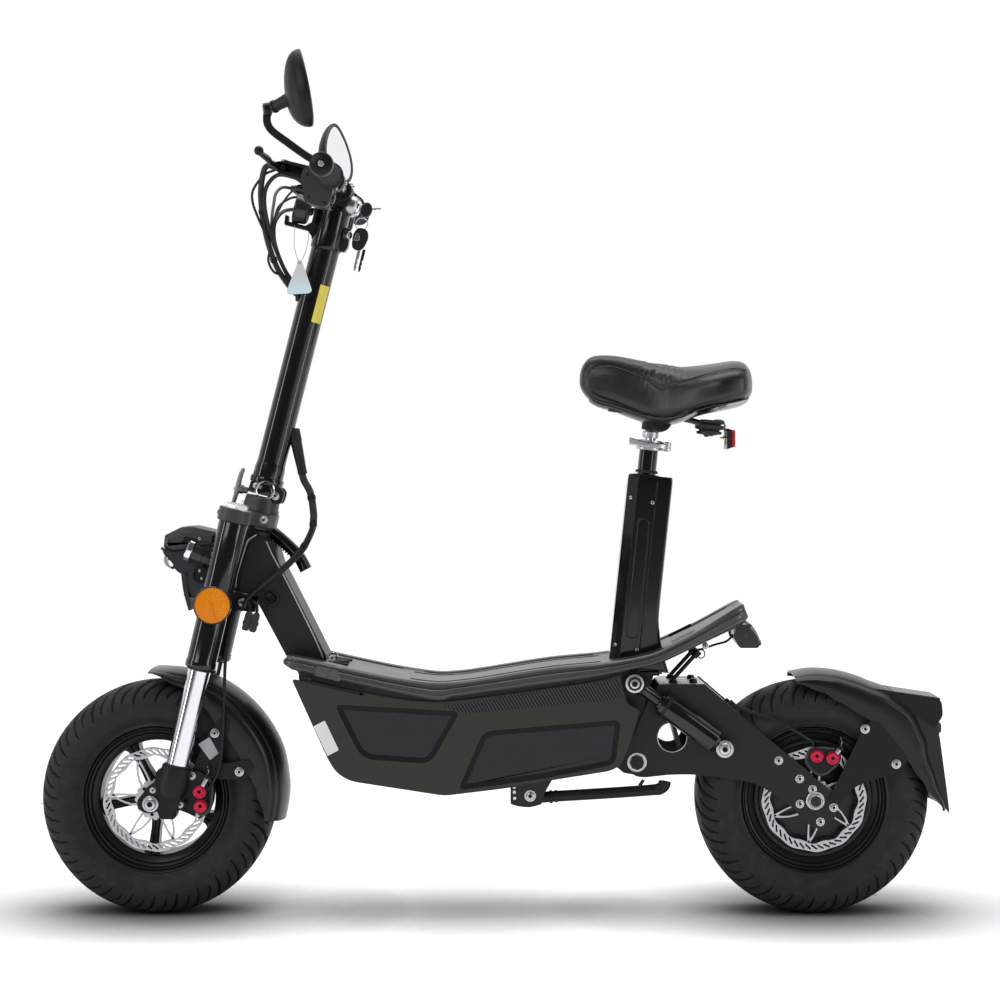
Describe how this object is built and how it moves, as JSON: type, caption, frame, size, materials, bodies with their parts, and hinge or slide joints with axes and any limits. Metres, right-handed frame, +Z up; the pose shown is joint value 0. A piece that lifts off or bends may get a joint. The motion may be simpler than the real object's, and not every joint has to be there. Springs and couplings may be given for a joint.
{
  "type": "seated electric scooter",
  "caption": "Foldable electric scooter with a padded saddle on a leaning column, foot deck, telescopic fork, hub motor, swingarm and fenders.",
  "frame": {"origin": "under the middle of the scooter's bounding box, on the ground plane", "axes": "+X to the rear, -X is the front, +Y to the rider's right, +Z up"},
  "size_m": [1.3766, 0.764, 1.2645],
  "materials": {
    "frame_black": "satin black paint",
    "satin_black": "satin black moulding",
    "plastic_black": "grained black plastic",
    "deck_black": "moulded foot deck, matt",
    "grip_rubber": "black rubber",
    "cable_black": "black cable jacket",
    "tyre_black": "black tyre rubber",
    "saddle_cover": "black synthetic leather, padded",
    "chrome": "polished chrome",
    "steel": "bare steel",
    "disc_steel": "ground steel",
    "alloy_black": "satin black cast alloy",
    "orange_reflector": "clear orange",
    "red_lens": "clear red",
    "lamp_black": "gloss black housing",
    "mirror_head": "black shell with glass",
    "battery_blue": "shrink wrap",
    "controller_case": "plain"
  },
  "bodies": {
    "frame": {"main_frame": "frame_black", "deck_board": "deck_black", "side_panel_left": "satin_black", "side_panel_right": "satin_black", "battery_pack": "battery_blue", "motor_controller": "controller_case", "seat_column": "frame_black", "seat_clamp": "steel", "tail_light": "red_lens", "steering_harness": "cable_black"},
    "steering": {"fork_crown": "frame_black", "upper_yoke": "frame_black", "fork_outer_left": "frame_black", "fork_outer_right": "frame_black", "headlight": "lamp_black", "side_reflector_left": "orange_reflector", "side_reflector_right": "orange_reflector"},
    "fork_lower": {"stanchion_left": "chrome", "stanchion_right": "chrome", "front_axle": "steel", "front_caliper": "alloy_black", "front_fender": "satin_black", "front_brake_hose": "cable_black"},
    "front_wheel": {"front_tyre": "tyre_black", "front_rim": "alloy_black", "front_brake_disc": "disc_steel"},
    "column": {"column_tube": "frame_black", "handlebar": "frame_black", "grip_left": "grip_rubber", "controls_left": "plastic_black", "controls_right": "plastic_black", "horn": "plastic_black", "mirror_arm_left": "frame_black", "mirror_arm_right": "frame_black", "cockpit_cables": "cable_black"},
    "brake_lever_left": {"brake_lever_left": "alloy_black"},
    "brake_lever_right": {"brake_lever_right": "alloy_black"},
    "throttle": {"throttle_grip": "grip_rubber"},
    "mirror_left": {"mirror_left": "mirror_head"},
    "mirror_right": {"mirror_right": "mirror_head"},
    "fold_lever": {"fold_lever": "steel"},
    "ignition_key": {"ignition_key": "steel"},
    "horn_button": {"horn_button": "plastic_black"},
    "swingarm": {"swingarm": "frame_black", "rear_axle": "steel", "rear_caliper": "alloy_black", "rear_fender": "satin_black", "rear_brake_hose": "cable_black"},
    "rear_wheel": {"rear_tyre": "tyre_black", "rear_hub_motor": "alloy_black", "rear_brake_disc": "disc_steel"},
    "shock_upper": {"shock_rod_left": "chrome", "shock_rod_right": "chrome"},
    "shock_lower": {"shock_body_left": "frame_black", "shock_body_right": "frame_black"},
    "seat": {"seat_post": "chrome", "saddle_carrier": "frame_black", "saddle": "saddle_cover"},
    "seat_clamp_lever": {"seat_clamp_lever": "steel"},
    "kickstand": {"kickstand": "frame_black"}
  },
  "joints": [
    {"name": "steer", "type": "hinge", "parent": "frame", "child": "steering", "pos_m": [-0.34654, 0, 0.66708], "axis": [0.2267, 0, 0.974], "range_deg": [-20, 20], "deforming": ["steering_harness"]},
    {"name": "fork_travel", "type": "slide", "parent": "steering", "child": "fork_lower", "axis": [0.2267, 0, 0.974], "range_m": [0, 0.028], "stiffness_N_per_m": 8000, "springref_m": -0.06, "deforming": ["front_brake_hose"]},
    {"name": "front_wheel_spin", "type": "hinge", "parent": "fork_lower", "child": "front_wheel", "pos_m": [-0.51117, 0, 0.17714], "axis": [0, 1, 0], "continuous": true},
    {"name": "column_fold", "type": "hinge", "parent": "steering", "child": "column", "pos_m": [-0.33198, 0, 0.637], "axis": [0, 1, 0], "range_deg": [0, 90]},
    {"name": "fold_lever_turn", "type": "hinge", "parent": "column", "child": "fold_lever", "pos_m": [-0.35282, 0, 0.6401], "axis": [0.974, 0, -0.2267], "range_deg": [0, 120]},
    {"name": "left_brake", "type": "hinge", "parent": "column", "child": "brake_lever_left", "pos_m": [-0.3074, -0.1399, 1.12342], "axis": [0.2453, 0, 0.9694], "range_deg": [0, 12], "stiffness_Nm_per_rad": 8, "springref_deg": -1.15},
    {"name": "right_brake", "type": "hinge", "parent": "column", "child": "brake_lever_right", "pos_m": [-0.3074, 0.1399, 1.12342], "axis": [-0.2453, 0, -0.9694], "range_deg": [0, 12], "stiffness_Nm_per_rad": 8, "springref_deg": -1.15},
    {"name": "throttle_twist", "type": "hinge", "parent": "column", "child": "throttle", "pos_m": [-0.23276, 0, 1.10453], "axis": [0, 1, 0], "range_deg": [0, 70], "stiffness_Nm_per_rad": 0.5, "springref_deg": -5.73},
    {"name": "left_mirror_turn", "type": "hinge", "parent": "column", "child": "mirror_left", "pos_m": [-0.30627, -0.3208, 1.1809], "axis": [0.2453, 0, 0.9694], "range_deg": [-20, 20]},
    {"name": "right_mirror_turn", "type": "hinge", "parent": "column", "child": "mirror_right", "pos_m": [-0.30627, 0.3208, 1.1809], "axis": [0.2453, 0, 0.9694], "range_deg": [-20, 20]},
    {"name": "key_turn", "type": "hinge", "parent": "column", "child": "ignition_key", "pos_m": [-0.19646, 0, 1.07678], "axis": [0.9694, 0, -0.2453], "range_deg": [0, 90]},
    {"name": "horn_press", "type": "slide", "parent": "column", "child": "horn_button", "axis": [-0.9694, 0, 0.2453], "range_m": [0, 0.003], "stiffness_N_per_m": 800, "springref_m": -0.001},
    {"name": "swing", "type": "hinge", "parent": "frame", "child": "swingarm", "pos_m": [0.21843, 0, 0.23514], "axis": [0, -1, 0], "range_deg": [0, 8], "stiffness_Nm_per_rad": 400, "springref_deg": -20.05, "deforming": ["rear_brake_hose"]},
    {"name": "rear_wheel_spin", "type": "hinge", "parent": "swingarm", "child": "rear_wheel", "pos_m": [0.48783, 0, 0.17714], "axis": [0, 1, 0], "continuous": true},
    {"name": "shock_swing", "type": "hinge", "parent": "frame", "child": "shock_upper", "pos_m": [0.21383, 0, 0.35714], "axis": [0, -1, 0], "range_deg": [0, 5]},
    {"name": "shock_slide", "type": "slide", "parent": "shock_upper", "child": "shock_lower", "axis": [-0.8093, 0, 0.5875], "range_m": [0, 0.015]},
    {"name": "seat_height", "type": "slide", "parent": "frame", "child": "seat", "axis": [0.1045, 0, 0.9945], "range_m": [-0.01, 0.06]},
    {"name": "seat_lever_turn", "type": "hinge", "parent": "frame", "child": "seat_clamp_lever", "pos_m": [0.26479, -0.0148, 0.71232], "axis": [0.1045, 0, 0.9945], "range_deg": [0, 85]},
    {"name": "stand_swing", "type": "hinge", "parent": "frame", "child": "kickstand", "pos_m": [0.06583, -0.074, 0.18514], "axis": [0, 1, 0], "range_deg": [0, 75]}
  ],
  "couplings": [
    {"joint": "shock_swing", "follows": "swing", "ratio": 0.5525},
    {"joint": "shock_slide", "follows": "swing", "m_per_rad": 0.0988}
  ]
}
